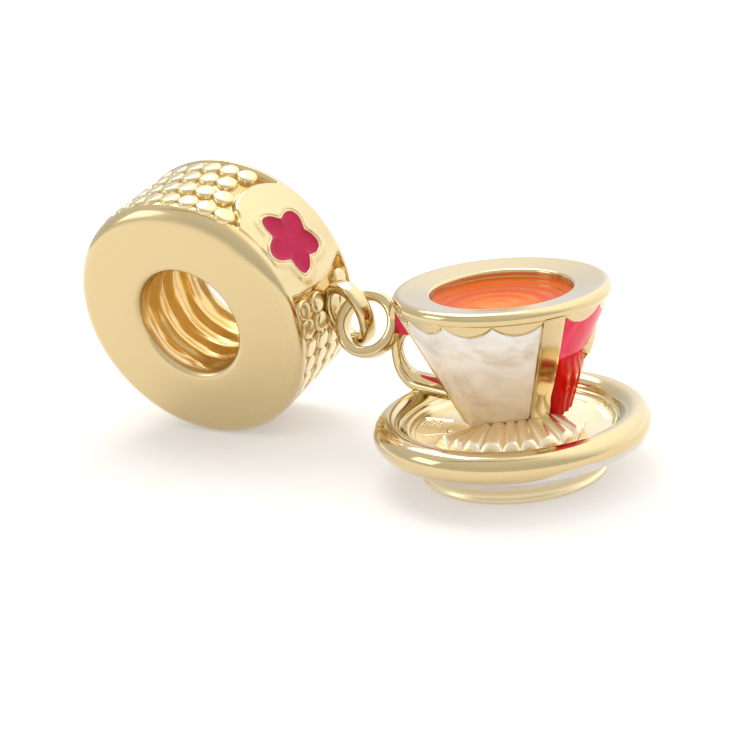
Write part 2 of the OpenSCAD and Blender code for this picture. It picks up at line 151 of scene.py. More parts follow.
# Handle, in a plane at its own turn round the cup
HANDLE_TURN = 164.2
HANDLE_OUT = 5.58  # middle of its wire at its widest
HANDLE_TOP = 6.1
HANDLE_LOW = 2.48
HANDLE_WIRE = 0.23  # half the wire's thickness
BEND_TOP, BEND_LOW = 0.9, 1.05
FINGER_LOW = 3.1
FINGER_TOP = 4.6
WEB_HALF = 0.1
WEB_START = 2.0  # where the web begins, inside the cup's wall
FLARE_LOW, FLARE_TOP, FLARE_END = 2.73, 3.06, 4.35

# Rings
WIRE_T = 0.46  # thickness of the wire in the ring's plane
WIRE_W = 0.64  # its width across
RING_A_R = 1.13  # middle of the wire, on the bead's ring and on the handle's
RING_B_R = 1.11
GROWN = 0.02  # moves both out, because this wire is 0.04 thicker than the solids' one


def wall(z):
    """Radius of the cup's wall at a height: a straight cone from the base to the rim."""
    return BASE_R + (CUP_R - BASE_R) / (RIM_Z - BASE_Z) * (z - BASE_Z)


def smooth(x, low, high):
    """Soft step from 0 at low to 1 at high."""
    t = np.clip((x - low) / (high - low), 0, 1)
    return t * t * (3 - 2 * t)


def between(start, end, share):
    """Straight blend from start, at share 0, to end, at share 1."""
    return start + (end - start) * share


def shares(nu, nv):
    """Shares from 0 to 1 of a sheet's two ways, as a column and a row."""
    return np.linspace(0, 1, nu)[:, None], np.linspace(0, 1, nv)[None]


def round_over(t):
    """Quarter of a pillow: from 0, steep, to 1, level, as t goes from 0 to 1."""
    return 1 - (1 - np.clip(t, 0, 1)) ** 2


def read(table, x, column=1):
    """A short table's column at x, straight from row to row, where column 0 holds x."""
    rows = np.array(table)
    return np.interp(x, rows[:, 0], rows[:, column])


def full_turn(count, start=0):
    """Angles of a full turn as a column."""
    return np.linspace(start, start + 360, count, endpoint=False)[:, None]


def soft_square(angle, power):
    """Cosine and sine of an angle, each to a power and with its sign: a circle with flattened sides."""
    c, s = np.cos(np.radians(angle)), np.sin(np.radians(angle))
    return np.sign(c) * np.abs(c) ** power, np.sign(s) * np.abs(s) ** power


def arc(centre, radius, start, end, count):
    """Points of an arc in the plane of radius and height."""
    turn = np.radians(np.linspace(start, end, count))
    return [(centre[0] + radius * np.cos(t), centre[1] + radius * np.sin(t)) for t in turn]


def way_along(points):
    """Distance of each point from the first, measured along the line through them."""
    return np.concatenate([[0], np.cumsum(np.hypot(*np.diff(points, axis=0).T))])


def rotation(axis, degrees):
    """Turning matrix about X, Y or Z as numpy."""
    return np.array(Matrix.Rotation(np.radians(degrees), 3, axis))


def on_bead(theta, s, r):
    """Points (r cos theta, s, r sin theta) of the bead's own frame, put where the bead leans."""
    a = np.radians(theta)
    points = np.stack(np.broadcast_arrays(r * np.cos(a), s, r * np.sin(a)), -1)
    return points @ rotation("X", LEAN).T + BEAD_PLACE


def round_cup(azimuth, r, z):
    """Points (r cos azimuth, r sin azimuth, z) round the cup's axis."""
    a = np.radians(azimuth)
    return np.stack(np.broadcast_arrays(r * np.cos(a), r * np.sin(a), z), -1)


def across_handle(out, side, up):
    """Points of the handle's frame: distance from the cup's axis, sideways, height."""
    points = np.stack(np.broadcast_arrays(out, side, up), -1)
    return points @ rotation("Z", HANDLE_TURN).T


# Meshes
def grid_faces(nu, nv, wrap_u=False, wrap_v=False, first=0):
    """Quads of an nu by nv grid of points, counted row by row from first."""
    i = np.arange(nu if wrap_u else nu - 1)
    j = np.arange(nv if wrap_v else nv - 1)
    i, j = np.meshgrid(i, j, indexing="ij")
    i2, j2 = (i + 1) % nu, (j + 1) % nv
    quads = np.stack([i * nv + j, i2 * nv + j, i2 * nv + j2, i * nv + j2], -1)
    return quads.reshape(-1, 4) + first


def outward(points, faces):
    """Turns all faces round if the closed shell's signed volume is negative."""
    a, b, c, d = (points[faces[:, k]] for k in range(4))
    volume = np.einsum("ij,ij->i", a, np.cross(b, c)) + np.einsum("ij,ij->i", a, np.cross(c, d))
    return faces if volume.sum() > 0 else faces[:, ::-1]


def ring_shell(points):
    """Closed shell of a grid that wraps both ways, such as a ring: sections by points round each."""
    nu, nv = points.shape[:2]
    flat = points.reshape(-1, 3)
    return flat, outward(flat, grid_faces(nu, nv, True, True))


def sheet_shell(top, bottom):
    """Closed shell of a sheet: a top grid, a bottom grid of the same size and a wall all round."""
    nu, nv = top.shape[:2]
    flat = np.concatenate([top.reshape(-1, 3), bottom.reshape(-1, 3)])
    under = grid_faces(nu, nv, first=nu * nv)[:, ::-1]
    index = np.arange(nu * nv).reshape(nu, nv)
    edge = np.concatenate([index[:-1, 0], index[-1, :-1], index[:0:-1, -1], index[0, :0:-1]])
    after = np.roll(edge, -1)
    walls = np.stack([after, edge, edge + nu * nv, after + nu * nv], -1)
    return flat, outward(flat, np.concatenate([grid_faces(nu, nv), under, walls]))


def wall_sheet(azimuth, r, z, sunk):
    """Closed sheet on the cup: its face at radius r, its back sunk inside the wall."""
    azimuth, r, z = np.broadcast_arrays(azimuth, r, z)
    return sheet_shell(round_cup(azimuth, r, z), round_cup(azimuth, wall(z) - sunk, z))


def round_sheet_shell(top, bottom):
    """Closed shell of a sheet whose first direction wraps round."""
    return ring_shell(np.concatenate([top, bottom[:, ::-1]], axis=1))


def tube_shell(sections):
    """Closed shell of a bar: sections of points in order, each end drawn together to a tiny ring."""
    ends = []
    for section in (sections[0], sections[-1]):
        middle = section.mean(0)
        ends.append(middle + (section - middle) * 1e-3)
    return ring_shell(np.concatenate([ends[0][None], sections, ends[1][None]]))


def add_piece(name, shells, material, nodes):
    """One object from closed shells, at the origin, smooth, riding on the charm's one body."""
    points, faces, count = [], [], 0
    for shell_points, shell_faces in shells:
        points.append(shell_points * MM)
        faces.append(shell_faces + count)
        count += len(shell_points)
    points, faces = np.concatenate(points), np.concatenate(faces)
    mesh = bpy.data.meshes.new(name)
    mesh.vertices.add(len(points))
    mesh.vertices.foreach_set("co", points.ravel())
    mesh.loops.add(faces.size)
    mesh.loops.foreach_set("vertex_index", faces.ravel())
    mesh.polygons.add(len(faces))
    mesh.polygons.foreach_set("loop_start", np.arange(0, faces.size, 4))
    mesh.polygons.foreach_set("use_smooth", np.ones(len(faces), bool))
    mesh.update(calc_edges=True)
    mesh.validate()
    mesh.materials.append(material)
    piece = bpy.data.objects.new(name, mesh)
    bpy.context.scene.collection.objects.link(piece)
    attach(piece, "root")
    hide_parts(*nodes)


# Materials
def linear(code):
    """sRGB hex to a linear colour with alpha."""
    c = np.array([int(code[k:k + 2], 16) for k in (1, 3, 5)]) / 255
    c = np.where(c <= 0.04045, c / 12.92, ((c + 0.055) / 1.055) ** 2.4)
    return (*c.tolist(), 1.0)


def link(tree, node, links):
    """Links sources to a node's sockets by name or number. A source is a socket, or a node, which gives
    its first output in use."""
    for key, source in links.items():
        if isinstance(source, bpy.types.Node):
            source = next(output for output in source.outputs if output.enabled)
        tree.links.new(source, node.inputs[key])


def add_node(tree, kind, links=None, values=None, stops=(), **settings):
    """Adds a shader node with its settings, links and values, the last two by the socket's name or
    number. Stops are the (place, hex) pairs of a colour ramp."""
    node = tree.nodes.new("ShaderNode" + kind)
    for key, value in settings.items():
        setattr(node, key, value)
    for key, value in (values or {}).items():
        node.inputs[key].default_value = value
    link(tree, node, links or {})
    for k, (place, code) in enumerate(stops):
        if k > 1:
            node.color_ramp.elements.new(place)
        node.color_ramp.elements[k].position = place
        node.color_ramp.elements[k].color = linear(code)
    return node


def new_material(name, values):
    """A material of one Principled shader with its values, and its Object coordinates."""
    material = bpy.data.materials.new(name)
    material.use_nodes = True
    tree = material.node_tree
    tree.nodes.clear()
    shader = add_node(tree, "BsdfPrincipled", values=values)
    add_node(tree, "OutputMaterial", {"Surface": shader})
    return material, tree, shader, add_node(tree, "TexCoord").outputs["Object"]


def reopen(material):
    """The tree, the shader and new Object coordinates of a material that gets a further pattern."""
    tree = material.node_tree
    shader = next(node for node in tree.nodes if node.type == "BSDF_PRINCIPLED")
    return tree, shader, add_node(tree, "TexCoord").outputs["Object"]


def gold_plate(name, roughness, wave_mm, wave_depth, tone="#D5BF8B"):
    """Gold-plated brass under clear lacquer. Polishing leaves soft waves, wave_mm wide and wave_depth
    high, and the roughness changes with them."""
    material, tree, shader, place = new_material(name, {
        "Base Color": linear(tone), "Metallic": 1.0,
        "Coat Weight": 1.0, "Coat Roughness": 0.1, "Coat IOR": 1.6})
    noise = add_node(tree, "TexNoise", {"Vector": place},
                     {"Scale": 1 / (wave_mm * MM), "Detail": 2.0})
    rough = add_node(tree, "MapRange", {"Value": noise},
                     {"To Min": roughness * 0.7, "To Max": roughness * 1.4})
    bump = add_node(tree, "Bump", {"Height": noise}, {"Strength": 1.0, "Distance": wave_depth * MM})
    link(tree, shader, {"Roughness": rough, "Normal": bump})
    return material


def enamel(name, stops, streak_mm, roughness, shine, wave_depth, stretch=(1, 1, 1), distort=0.6):
    """Fired and polished enamel: glass over a pigment that drifts in soft streaks, streak_mm wide, which
    also stand a wave_depth high in its face. A stretch below 1 draws them out that way."""
    material, tree, shader, place = new_material(name, {
        "Roughness": roughness, "IOR": 1.5, "Specular IOR Level": shine})
    own = add_node(tree, "Mapping", {"Vector": place}, {"Scale": stretch})
    noise = add_node(tree, "TexNoise", {"Vector": own}, {
        "Scale": 1 / (streak_mm * MM), "Detail": 4.0, "Roughness": 0.55, "Distortion": distort})
    colour = add_node(tree, "ValToRGB", {"Fac": noise}, stops=stops)
    bump = add_node(tree, "Bump", {"Height": noise}, {"Strength": 1.0, "Distance": wave_depth * MM})
    link(tree, shader, {"Base Color": colour, "Normal": bump})
    return material


def warm_low(material, low, high, stops):
    """Tints an enamel by height: warmer where the saucer's gold shines up into it."""
    tree, shader, place = reopen(material)
    height = add_node(tree, "SeparateXYZ", {"Vector": place}).outputs["Z"]
    share = add_node(tree, "MapRange", {"Value": height},
                     {"From Min": low * MM, "From Max": high * MM})
    warmth = add_node(tree, "ValToRGB", {"Fac": share}, stops=stops)
    plain = shader.inputs["Base Color"].links[0].from_socket
    tint = add_node(tree, "VectorMath", {0: plain, 1: warmth}, operation="MULTIPLY")
    link(tree, shader, {"Base Color": tint})
    return material


def painted_light_and_satin(material, centre, lean, across, half, tones, rough):
    """Changes a gold with the distance from an axis through centre: its colour by (distance, hex) tones,
    up to a half width along the axis, and its roughness by (distance, value) pairs. The tones are painted
    light: amber where light bounces round low places, and paler where more light comes back. Polishing does
    not reach low places, so they are rougher. across leaves out the axis's own direction."""
    tree, shader, place = reopen(material)
    away = -(rotation("X", -lean) @ np.array(centre)) * MM
    own = add_node(tree, "Mapping", {"Vector": place},
                   {"Rotation": (np.radians(-lean), 0, 0), "Location": tuple(away)})
    flat = add_node(tree, "VectorMath", {0: own}, {1: across}, operation="MULTIPLY")
    reach = add_node(tree, "VectorMath", {0: flat}, operation="LENGTH")
    (near, inner), (far, outer) = rough
    matt = add_node(tree, "MapRange", {"Value": reach}, {
        "From Min": near * MM, "From Max": far * MM, "To Min": inner, "To Max": outer})
    span, fade = 6.0, 0.06
    # Painted light: the colour tones below stand in for light in low places, and are no finish of the metal
    share = add_node(tree, "MapRange", {"Value": reach}, {"From Max": span * MM})
    tone = add_node(tree, "ValToRGB", {"Fac": share},
                    stops=[(distance / span, code) for distance, code in tones])
    along = add_node(tree, "SeparateXYZ", {"Vector": own}).outputs["Y"]
    aside = add_node(tree, "Math", {0: along}, operation="ABSOLUTE")
    mask = add_node(tree, "MapRange", {"Value": aside},
                    {"From Min": (half - fade) * MM, "From Max": (half + fade) * MM})
    mixed = add_node(tree, "Mix", {"Factor": mask, 6: tone}, {7: linear(tones[-1][1])},
                     data_type="RGBA")
    link(tree, shader, {"Base Color": mixed, "Roughness": matt})
    return material


# Gold polished in a tumbler: a soft mirror whose waves bend the reflections a little
GOLD = gold_plate("polished_gold_plate", roughness=0.12, wave_mm=2.2, wave_depth=0.004)
# The same on the bead: a painted deeper amber in the hole and the dotted fields for light bounced round them,
# softer there
BEAD_GOLD = painted_light_and_satin(
    gold_plate("bead_gold_plate", roughness=0.12, wave_mm=2.2, wave_depth=0.004),
    BEAD_PLACE, LEAN, across=(1, 0, 1), half=1.93,
    tones=[(2.6, "#E2BE72"), (2.7, "#D5BF8B"), (4.8, "#D5BF8B"), (4.9, "#D8A844"), (5.03, "#D8A844"),
           (5.12, "#D5BF8B")],
    rough=((4.6, 0.3), (5.1, 0.13)))
# The same on the saucer, stamped and not polished in its well: satin inside and painted paler there for the
# light it gives back, a mirror on the roll
SAUCER_GOLD = painted_light_and_satin(
    gold_plate("saucer_gold_plate", roughness=0.12, wave_mm=2.2, wave_depth=0.004),
    (0, 0, 0), 0, across=(1, 1, 0), half=9.0,
    tones=[(3.7, "#F2E2B6"), (4.05, "#D5BF8B")], rough=((3.7, 0.32), (4.05, 0.11)))
# Dots rubbed by wear: paler, with broad soft highlights
DOT_GOLD = gold_plate("worn_gold_plate", roughness=0.24, wave_mm=0.5, wave_depth=0.006, tone="#E0CC98")
# Pleats left as cast: a satin, painted a pale cream for the white panel's reflection in it. The grain is
# finer and is drawn 0.3 mm wide so that it shows
ROUGH_GOLD = gold_plate("cast_gold_plate", roughness=0.32, wave_mm=0.3, wave_depth=0.01, tone="#FFF0CC")
# Deep pink enamel, ground level and polished: an even colour with one clear highlight
FLOWER = enamel("flower_enamel", [(0.3, "#AE0638"), (0.7, "#C01450")],
                streak_mm=1.5, roughness=0.1, shine=0.2, wave_depth=0.004)
# White enamel with pearl powder, poured: cloudy drifts and a soft sheen, warm above the saucer
PEARL = warm_low(
    enamel("pearl_enamel", [(0.3, "#D2C6B4"), (0.42, "#E4DDD2"), (0.55, "#F1EEE9"), (0.75, "#F8F7F7")],
           streak_mm=2.2, roughness=0.2, shine=0.4, wave_depth=0.003, stretch=(1, 1, 1.6), distort=1.2),
    low=2.3, high=6.4, stops=[(0.0, "#FFE4BA"), (0.5, "#FBEEDC"), (1.0, "#FFFFFF")])
# Pink enamel, brushed on downwards: streaks of two pinks under a gloss
PINK = enamel("pink_enamel", [(0.3, "#DD1838"), (0.7, "#F04870")],
              streak_mm=0.8, roughness=0.14, shine=0.2, wave_depth=0.01, stretch=(1, 1, 0.6))
# Red enamel over pleated metal, thin on the ridges: upright streaks from dark red to orange-red
RED = enamel("red_enamel", [(0.25, "#B80404"), (0.6, "#DC0E08"), (0.8, "#EE3410")],
             streak_mm=0.5, roughness=0.12, shine=0.12, wave_depth=0.02, stretch=(1, 1, 0.3))
# Plain white enamel, poured into the band: smooth, faintly grey, glossy
WHITE = enamel("white_enamel", [(0.3, "#D3CCC2"), (0.7, "#E0DBD6")],
               streak_mm=2.0, roughness=0.12, shine=0.4, wave_depth=0.003)
# Crimson enamel, dropped into the handle's web: glossy, a little domed, nearly even
HANDLE_RED = enamel("handle_enamel", [(0.3, "#C81030"), (0.7, "#E0244C")],
                    streak_mm=0.5, roughness=0.12, shine=0.2, wave_depth=0.005)


def tea_material():
    """Translucent orange enamel, poured over a brushed floor, its colour painted with light and shade: paler
    to the front and deeper to the edge, with a drift of 1.4 mm from noise 1.6 mm wide."""
    material, tree, shader, place = new_material("tea_enamel", {
        "Roughness": 0.16, "IOR": 1.5, "Specular IOR Level": 0.06})
    shift = add_node(tree, "Mapping", {"Vector": place},
                     {"Location": (-0.3 * MM, 1.1 * MM, -TEA_Z * MM)})
    reach = add_node(tree, "VectorMath", {0: shift}, operation="LENGTH")
    noise = add_node(tree, "TexNoise", {"Vector": place}, {"Scale": 1 / (1.6 * MM), "Detail": 2.0})
    drift = add_node(tree, "Math", {0: noise, 2: reach}, {1: 1.4 * MM}, operation="MULTIPLY_ADD")
    spread = add_node(tree, "MapRange", {"Value": drift},
                      {"From Min": 0.5 * MM, "From Max": 4.4 * MM})
    # Painted light and shade: pale round a spot to the front, deep orange towards the edge
    colour = add_node(tree, "ValToRGB", {"Fac": spread},
                      stops=[(0.0, "#E6883C"), (0.3, "#DC6C14"), (0.55, "#CE4E00"), (1.0, "#C85A00")])
    link(tree, shader, {"Base Color": colour})
    return material


# Bead
def from_plate(theta):
    """Angle from the middle of the nearest plate, with its sign."""
    return (theta - PLATE_ANGLE + PLATE_STEP / 2) % PLATE_STEP - PLATE_STEP / 2


def half_length(s, longest, drawn_in, power, middle):
    """Half length of a plate at a place along the hole: longest near mid-width, less towards the rims."""
    return longest - drawn_in * np.abs((s - middle) / FIELD_HALF) ** power


def plate_distance(theta, s):
    """Distance round the bead from the nearest plate's edge, positive in the fields."""
    off = from_plate(theta)
    half = np.where(off > 0, half_length(s, *PLATE_ABOVE), half_length(s, *PLATE_BELOW))
    return np.abs(np.radians(off)) * BEAD_R - half


def crown_radius(s):
    """Radius over the plates: the rims' radius and a slight crown that fades out at the rims."""
    t = np.clip(np.abs(s) / (FIELD_HALF + 0.25), 0, 1)
    return BEAD_R + CROWN * (1 - t * t) ** 2


def flower_radius(angle):
    """Outline of the flower: the notches' radius plus a round-headed wave for each petal."""
    wave = 0.5 + 0.5 * np.cos(np.radians(angle * PETALS))
    return NOTCH_R + (PETAL_TIP - NOTCH_R) * wave ** 0.8


def flower_depth(theta, s):
    """How far a place lies inside the nearest flower's outline, measured along its own ray."""
    x = -np.radians(from_plate(theta) - FLOWER_TURN) * (BEAD_R + CROWN)
    y = s - FLOWER_SHIFT
    angle = np.degrees(np.arctan2(y, x)) - FLOWER_SPIN
    return flower_radius(angle) - np.hypot(x, y)


def flower_points(index, angle, reach, lift):
    """Points of a flower's own polar frame laid on its plate, lifted from the plate's crown."""
    a = np.radians(angle + FLOWER_SPIN)
    x = reach * np.cos(a) - np.radians(FLOWER_TURN) * (BEAD_R + CROWN)
    s = reach * np.sin(a) + FLOWER_SHIFT
    theta = PLATE_ANGLE + index * PLATE_STEP - np.degrees(x / (BEAD_R + CROWN))
    return on_bead(theta, s, crown_radius(s) + lift)


def dot_places():
    """Angle and place of each dot: four rows in each field, clear of the plates."""
    spots = []
    for field in range(PLATE_COUNT):
        centre = PLATE_ANGLE + (field + 0.5) * PLATE_STEP
        for s, shift in DOT_ROWS:
            for k in range(-6, 7):
                theta = centre + shift + k * DOT_STEP
                if plate_distance(np.array(theta), np.array(s)) > DOT_CLEAR:
                    spots.append((theta, s))
    return spots


def shoulder(theta):
    """Share by which the front rim is worn into a broad shoulder: full over the upper right of the bead."""
    local = (theta + 60) % 360 - 60
    return smooth(local, 22, 50) * (1 - smooth(local, 78, 150))


def front_rim(theta):
    """Radius of the front rim and the reach of its rounding over the face and along the barrel."""
    wide = shoulder(theta)
    local = (theta + 180) % 360 - 180
    crisp = smooth(local, -70, -20) * (1 - smooth(local, 14, 34))
    over_face = RIM_ROUND + WORN_FACE * wide - CRISP_FACE * crisp
    over_side = RIM_ROUND + WORN_SIDE * wide - CRISP_SIDE * crisp
    return BEAD_R - WORN_OFF * wide, over_face, over_side


def barrel_radius(theta, s, dots):
    """Height field of the bead's outside: rims and plates at their full radius, fields sunk between
    them, and the plate edges cut back round each dot that stands against them. The edges waver by 0.02,
    a low collar rises round each flower, and wear lowers the plates near the worn part of the rim."""
    plate = -plate_distance(theta, s)
    raised = np.maximum(plate, np.abs(s) - FIELD_HALF)
    for angle, place in dots:
        near = np.hypot(np.radians((theta - angle + 180) % 360 - 180) * FIELD_R, s - place)
        raised = np.minimum(raised, near - (DOT_R + DOT_MARGIN))
    waver = 0.02 * np.sin(np.radians(theta * 11)) * np.sin(s * 3.1)
    radius = crown_radius(s) - FIELD_DEPTH * (1 - smooth(raised + waver, -EDGE_SLOPE, EDGE_SLOPE))
    inside = flower_depth(theta, s)
    collar = 0.05 * (1 - smooth(-inside, 0.2, 0.5)) * smooth(-inside, -0.02, 0.06)
    in_field = smooth(-raised, -EDGE_SLOPE, EDGE_SLOPE)
    worn = (BEAD_R - front_rim(theta)[0]) * (1 - smooth(s, -2.0, -0.9)) * (1 - in_field * 0.75)
    return radius - worn + collar * smooth(plate, 0.0, 0.3) - FLOWER_SINK * smooth(inside, -0.11, -0.03)


PLAIN, BORE, BARREL, FACE, BEND = range(5)


def bead_loop():
    """Profile of the bead as rows round a loop: two numbers and their kind. They are radius and place on
    the plain stretches and in the bore, twice the share of the way across the front face or the barrel,
    and twice the angle on the bend between those."""
    inner = HALF_W - MOUTH_ROUND
    mouth = np.radians(np.linspace(0, 90, 6)[1:])
    bend = np.radians(np.linspace(0, 90, 11)[1:])
    face = np.linspace(HOLE_R + MOUTH_ROUND, BEAD_R - RIM_ROUND, 5)
    rows = [(HOLE_R, s, BORE) for s in np.linspace(HALF_W - BACK_MOUTH, -inner, 62)]
    rows += [(HOLE_R + MOUTH_ROUND * (1 - np.cos(t)), -inner - MOUTH_ROUND * np.sin(t), PLAIN)
             for t in mouth]
    rows += [(share, share, FACE) for share in np.linspace(0, 1, 5)[1:]]
    rows += [(t, t, BEND) for t in bend]
    rows += [(share, share, BARREL) for share in np.linspace(0, 1, 86)[1:-1]]
    rows += [(BEAD_R - RIM_ROUND * (1 - np.sin(t)), HALF_W - RIM_ROUND * (1 - np.cos(t)), PLAIN)
             for t in bend[::-1]]
    rows += [(BEAD_R - RIM_ROUND, HALF_W, PLAIN)]
    rows += [(r, HALF_W, PLAIN) for r in face[3:1:-1]]
    rows += [(HOLE_R + BACK_MOUTH * (1 - np.cos(t)), HALF_W - BACK_MOUTH * (1 - np.sin(t)), PLAIN)
             for t in mouth[::-1]]
    return np.array(rows)


def soft_noise(seed, nu, nv, waves_u, waves_v):
    """Smooth random field of unit spread that wraps both ways: white noise with its high waves removed."""
    field = np.fft.fft2(np.random.default_rng(seed).normal(size=(nu, nv)))
    ku, kv = np.abs(np.fft.fftfreq(nu) * nu), np.abs(np.fft.fftfreq(nv) * nv)
    field *= np.exp(-(ku[:, None] / waves_u) ** 2 - (kv[None] / waves_v) ** 2)
    field = np.fft.ifft2(field).real
    return field / field.std()


def bead_casting(dots):
    """The bead as one closed surface: its profile loop carried round the hole, with the height field on
    the outside and a wavering screw-like rib, a sine of turn and place, on the inside."""
    rows = bead_loop()
    theta = full_turn(520)
    r, s, kind = (rows[None, :, k] for k in range(3))
    phase = 2 * np.pi * (s / RIB_PITCH) + np.radians(theta)
    waver = 0.35 * np.sin(np.radians(3 * theta) + s) + 0.2 * np.sin(np.radians(7 * theta))
    begin, end = -HALF_W + MOUTH_ROUND, HALF_W - BACK_MOUTH
    window = smooth(s, begin, begin + 0.4) * smooth(end - s, 0.0, 0.2)
    rib = RIB_DEPTH * window * (0.5 + 0.5 * np.sin(phase + waver)) ** 0.9
    rib = rib + 0.016 * window * soft_noise(7, len(theta), len(rows), 9, 42)
    radius = np.where(kind == BORE, r + rib, r) + 0 * theta
    along = s + 0 * theta
    rim_r, over_face, over_side = front_rim(theta)
    face, bend, out = (np.where(kind[0] == k)[0] for k in (FACE, BEND, BARREL))
    radius[:, face] = between(HOLE_R + MOUTH_ROUND, rim_r - over_face, r[:, face])
    along[:, face] = -HALF_W
    radius[:, bend] = rim_r - over_face * (1 - np.sin(r[:, bend]))
    along[:, bend] = -HALF_W + over_side * (1 - np.cos(r[:, bend]))
    along[:, out] = between(-HALF_W + over_side, HALF_W - RIM_ROUND, s[:, out])
    radius[:, out] = barrel_radius(theta + 0 * along[:, out], along[:, out], dots)
    return ring_shell(on_bead(theta, along, radius))


def dot_shells(dots):
    """Each dot is a round pad: a straight-sided stud with a rounded shoulder and a nearly flat top."""
    turn = np.radians(full_turn(20))
    reach, height = (np.array(DOT_PROFILE) * (DOT_R, DOT_H)).T
    shells = []
    for angle, place in dots:
        along = place + reach * np.sin(turn)
        theta = angle + np.degrees(reach * np.cos(turn) / FIELD_R)
        shells.append(ring_shell(on_bead(theta, along, FIELD_R + height)))
    return shells


def flower_line(index):
    """Thin raised gold line round a flower: a rounded bead of metal carried along the outline."""
    angle = full_turn(200)
    out, up = np.array(LINE_SECTION).T
    reach = flower_radius(angle) + out
    return ring_shell(flower_points(index, angle, reach, up))


def flower_enamel(index):
    """Enamel in a flower: its face sinks a little from the outline towards the middle."""
    angle = full_turn(200)
    share = np.array([1.0, 0.985, 0.95, 0.88, 0.75, 0.55, 0.3, 0.12, 0.03, 0.005])
    reach = flower_radius(angle) * share
    face = 0.005 - FLOWER_DISH * (1 - share ** 6)
    return round_sheet_shell(flower_points(index, angle, reach, face),
                             flower_points(index, angle, reach, -FLOWER_SINK))


def ring(radius, place, turn):
    """A ring of oblong wire with soft corners, its axis over Y before it is turned and moved."""
    x, y = soft_square(full_turn(28)[:, 0], 0.6)
    x, y = x * WIRE_T / 2, y * WIRE_W / 2
    a = np.radians(full_turn(120))
    points = np.stack([(radius + x) * np.cos(a), y + 0 * a, (radius + x) * np.sin(a)], -1)
    return ring_shell(points @ turn.T + place)


# Cup. The lobes share what the bar leaves of the rim; each is an arc over its half width and its drop
LOBE_STEP = (360 - np.degrees(np.arcsin(BAR_W / wall(CUSP_Z)))) / LOBES
BAR_RIGHT = BAR_LEFT + 360 - LOBES * LOBE_STEP
LOBE_HALF = wall(CUSP_Z) * np.sin(np.radians(LOBE_STEP / 2))
LOBE_R = (LOBE_HALF ** 2 + LOBE_DROP ** 2) / (2 * LOBE_DROP)


def apron_edge(azimuth):
    """Height of the apron's lower edge: a row of arcs that meet in cusps, level over the bar."""
    local = (azimuth - BAR_RIGHT) % 360
    off = local % LOBE_STEP - LOBE_STEP / 2
    across = wall(CUSP_Z) * np.sin(np.radians(off))
    low = CUSP_Z - LOBE_DROP + LOBE_R - np.sqrt(LOBE_R ** 2 - across ** 2)
    return np.where(local > LOBES * LOBE_STEP, CUSP_Z, low)


def foot_line(azimuth):
    """Height at which the wall meets the saucer or the fan."""
    return read(FOOT_LINE, (np.asarray(azimuth, float) + 178) % 360 - 178)


def cup_casting():
    """Cup as a closed surface of revolution: wall, roll, sloping rim, lip and the well for the tea."""
    low, sunk, lip = 1.5, 0.03, 0.12
    roll_r = CUP_R - RIM_ROLL
    profile = [(0.05, low), (wall(low) - sunk, low)]
    profile += [(wall(z) - sunk, z) for z in np.linspace(low + 0.2, RIM_Z - 0.24, 16)]
    profile += arc((roll_r, RIM_Z), RIM_ROLL, -42, 92, 16)
    profile += [(r, np.interp(r, (TEA_R + lip, roll_r), (RIM_Z + 0.115, RIM_Z + RIM_ROLL)))
                for r in np.linspace(roll_r - 0.1, TEA_R + 0.16, 7)]
    profile += arc((TEA_R + lip, RIM_Z), lip, 80, 180, 7)
    profile += [(TEA_R, RIM_Z - 0.1), (TEA_R, TEA_Z - 0.12), (0.05, TEA_Z - 0.14)]
    r, z = np.array(profile).T
    return ring_shell(round_cup(full_turn(256), r, z))


def apron_shell():
    """Apron under the rim: its lower edge follows the lobes with a rounded bevel, its face runs up to the
    roll. Along each lobe the samples are even, so that one falls on every cusp."""
    per_lobe = 18
    azimuth = [BAR_RIGHT + LOBE_STEP * k / per_lobe for k in range(LOBES * per_lobe)]
    azimuth += list(np.linspace(BAR_RIGHT + LOBES * LOBE_STEP, BAR_RIGHT + 360, 9)[:-1])
    azimuth = np.array(azimuth)[:, None]
    edge = apron_edge(azimuth)
    edge[::per_lobe][:LOBES] = CUSP_Z
    low, top = CUSP_Z - LOBE_DROP, RIM_Z - RIM_ROLL / 4
    up = np.array([0.0, 0.0, 0.008, 0.025, 0.05, BEVEL])
    lift = np.array([-0.06, 0.45, 0.7, 0.88, 0.97, 1.0, 1.0, 1.0, 1.0, 1.0])
    share = np.array([0.25, 0.5, 0.75, 1.0])
    z = np.concatenate([edge + up, edge + BEVEL + (top - edge - BEVEL) * share], 1)
    face = np.interp(z, (low, top), (wall(low) + RELIEF, CUP_R - RIM_ROLL / 8))
    r = wall(z) + (face - wall(z)) * lift
    r[:, 0] = wall(z[:, 0]) - 0.06
    return round_sheet_shell(round_cup(azimuth, r, z), round_cup(azimuth, wall(z) - 0.1, z))


def bar_shell():
    """Gold bar beside the white panel, pillowed across, with its edges rounded down to the wall and a
    slight unevenness that grows downwards."""
    z = np.linspace(2.3, RIM_Z - 0.15, 60)[:, None]
    x = np.array([0, 0.0, 0.02, 0.06, 0.14, 0.3, 0.5, 0.7, 0.86, 0.94, 0.98, 1.0, 1.0]) * BAR_W
    lift = np.array([-1, 0.3, 0.65, 0.9, 1, 1.08, 1.12, 1.08, 1, 0.9, 0.65, 0.3, -1]) * RELIEF
    uneven = 0.03 * smooth(-z, -4.6, -2.6) * np.sin(9 * x + 2.2 * z) * np.sin(5 * z)
    r = wall(z) + np.where(lift > 0, lift + uneven, lift)
    return wall_sheet(BAR_LEFT + np.degrees(np.arcsin(x / r)), r, z, 0.12)


def edge_line():
    """Narrow raised line of gold along the white panel's left edge."""
    z = np.linspace(2.1, CUSP_Z, 50)[:, None]
    x = np.array([0, 0.0, 0.03, 0.08, 0.13, 0.16, 0.16])
    r = wall(z) + np.array([-0.08, 0.03, 0.06, 0.07, 0.06, 0.03, -0.08])
    return wall_sheet(LINE_AZIMUTH - np.degrees(x / r), r, z, 0.12)


